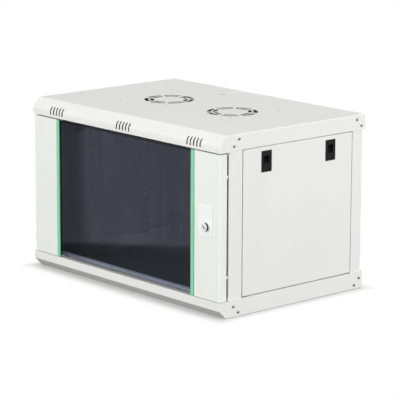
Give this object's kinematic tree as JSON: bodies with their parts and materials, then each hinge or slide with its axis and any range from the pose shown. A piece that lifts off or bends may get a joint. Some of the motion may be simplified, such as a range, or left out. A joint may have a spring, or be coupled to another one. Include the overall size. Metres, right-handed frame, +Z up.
{
  "type": "wall mount network cabinet",
  "caption": "Low steel cabinet with a glass door, lift-off side panels with slide latches and depth-adjustable 19 inch rails, to hang on a wall.",
  "frame": {"origin": "centre of the underside of the case, midway between its side faces and between the front face of the bezels and the rear edge", "axes": "+Z up, the glass door faces -Y, +X towards the lock side; in metres"},
  "size_m": [0.6036, 0.4087, 0.37],
  "materials": {
    "case_paint": "fine powder coat, satin",
    "door_paint": "fine powder coat, satin",
    "zinc_steel": "zinc plated",
    "screw_steel": "bright plated",
    "smoked_glass": "polished, smoked",
    "green_trim": "semi gloss",
    "black_tape": "matt",
    "soft_button": "matt",
    "white_plate": "semi gloss",
    "lock_chrome": "polished",
    "black_plastic": "fine matt"
  },
  "bodies": {
    "case": {"top_panel": "case_paint", "bottom_panel": "case_paint", "front_post_left": "case_paint", "front_post_right": "case_paint", "rear_post_left": "case_paint", "rear_post_right": "case_paint", "rear_panel": "case_paint", "rear_panel_screws": "screw_steel", "cable_cover_top": "case_paint", "cable_cover_bottom": "case_paint", "cable_cover_screws": "screw_steel", "earth_stud": "screw_steel", "corner_screws_left": "screw_steel", "corner_screws_right": "screw_steel", "door_bumpers": "soft_button", "hinge_pin": "screw_steel", "hinge_washer": "zinc_steel", "depth_bracket_lower_left": "zinc_steel", "depth_bracket_lower_right": "zinc_steel", "depth_bracket_upper_left": "zinc_steel", "depth_bracket_upper_right": "zinc_steel"},
    "door": {"door_strip_left": "door_paint", "door_strip_right": "door_paint", "door_glass": "smoked_glass", "glazing_tape": "black_tape", "door_trim_left": "green_trim", "door_trim_right": "green_trim", "lock_plate": "white_plate", "lock_body": "lock_chrome", "lock_nut": "zinc_steel", "hinge_bolt_bracket": "zinc_steel", "hinge_bolt_spring": "screw_steel"},
    "lock_core": {"lock_plug": "lock_chrome", "lock_cam": "zinc_steel", "lock_cam_screw": "screw_steel"},
    "hinge_bolt": {"hinge_bolt": "screw_steel"},
    "side_panel_left": {"side_panel_left": "case_paint", "latch_housing_front_left": "black_plastic", "latch_housing_rear_left": "black_plastic"},
    "latch_slide_front_left": {"latch_slide_front_left": "black_plastic"},
    "latch_slide_rear_left": {"latch_slide_rear_left": "black_plastic"},
    "side_panel_right": {"side_panel_right": "case_paint", "latch_housing_front_right": "black_plastic", "latch_housing_rear_right": "black_plastic"},
    "latch_slide_front_right": {"latch_slide_front_right": "black_plastic"},
    "latch_slide_rear_right": {"latch_slide_rear_right": "black_plastic"},
    "rail_front_left": {"rail_front_left": "zinc_steel", "rail_bolts_front_left": "screw_steel"},
    "rail_front_right": {"rail_front_right": "zinc_steel", "rail_bolts_front_right": "screw_steel"},
    "rail_rear_left": {"rail_rear_left": "zinc_steel", "rail_bolts_rear_left": "screw_steel"},
    "rail_rear_right": {"rail_rear_right": "zinc_steel", "rail_bolts_rear_right": "screw_steel"}
  },
  "joints": [
    {"name": "door_hinge", "type": "hinge", "parent": "case", "child": "door", "pos_m": [-0.291, -0.192, 0.185], "axis": [0, 0, -1], "range_deg": [0, 180]},
    {"name": "lock_turn", "type": "hinge", "parent": "door", "child": "lock_core", "pos_m": [0.2602, -0.1992, 0.1841], "axis": [0, -1, 0], "range_deg": [0, 90]},
    {"name": "hinge_bolt_slide", "type": "slide", "parent": "door", "child": "hinge_bolt", "axis": [0, 0, -1], "range_m": [0, 0.0085], "stiffness_N_per_m": 300, "springref_m": -0.004, "deforming": ["hinge_bolt_spring"]},
    {"name": "side_panel_left_tilt", "type": "hinge", "parent": "case", "child": "side_panel_left", "pos_m": [-0.2992, 0.0102, 0.0381], "axis": [0, -1, 0], "range_deg": [0, 20]},
    {"name": "latch_slide_front_left_push", "type": "slide", "parent": "side_panel_left", "child": "latch_slide_front_left", "axis": [0, 0, 1], "range_m": [0, 0.008]},
    {"name": "latch_slide_rear_left_push", "type": "slide", "parent": "side_panel_left", "child": "latch_slide_rear_left", "axis": [0, 0, 1], "range_m": [0, 0.008]},
    {"name": "side_panel_right_tilt", "type": "hinge", "parent": "case", "child": "side_panel_right", "pos_m": [0.2992, 0.0102, 0.0381], "axis": [0, 1, 0], "range_deg": [0, 20]},
    {"name": "latch_slide_front_right_push", "type": "slide", "parent": "side_panel_right", "child": "latch_slide_front_right", "axis": [0, 0, 1], "range_m": [0, 0.008]},
    {"name": "latch_slide_rear_right_push", "type": "slide", "parent": "side_panel_right", "child": "latch_slide_rear_right", "axis": [0, 0, 1], "range_m": [0, 0.008]},
    {"name": "rail_front_left_depth", "type": "slide", "parent": "case", "child": "rail_front_left", "axis": [0, 1, 0], "range_m": [-0.035, 0.055]},
    {"name": "rail_front_right_depth", "type": "slide", "parent": "case", "child": "rail_front_right", "axis": [0, 1, 0], "range_m": [-0.035, 0.055]},
    {"name": "rail_rear_left_depth", "type": "slide", "parent": "case", "child": "rail_rear_left", "axis": [0, 1, 0], "range_m": [-0.01, 0.085]},
    {"name": "rail_rear_right_depth", "type": "slide", "parent": "case", "child": "rail_rear_right", "axis": [0, 1, 0], "range_m": [-0.01, 0.085]}
  ]
}
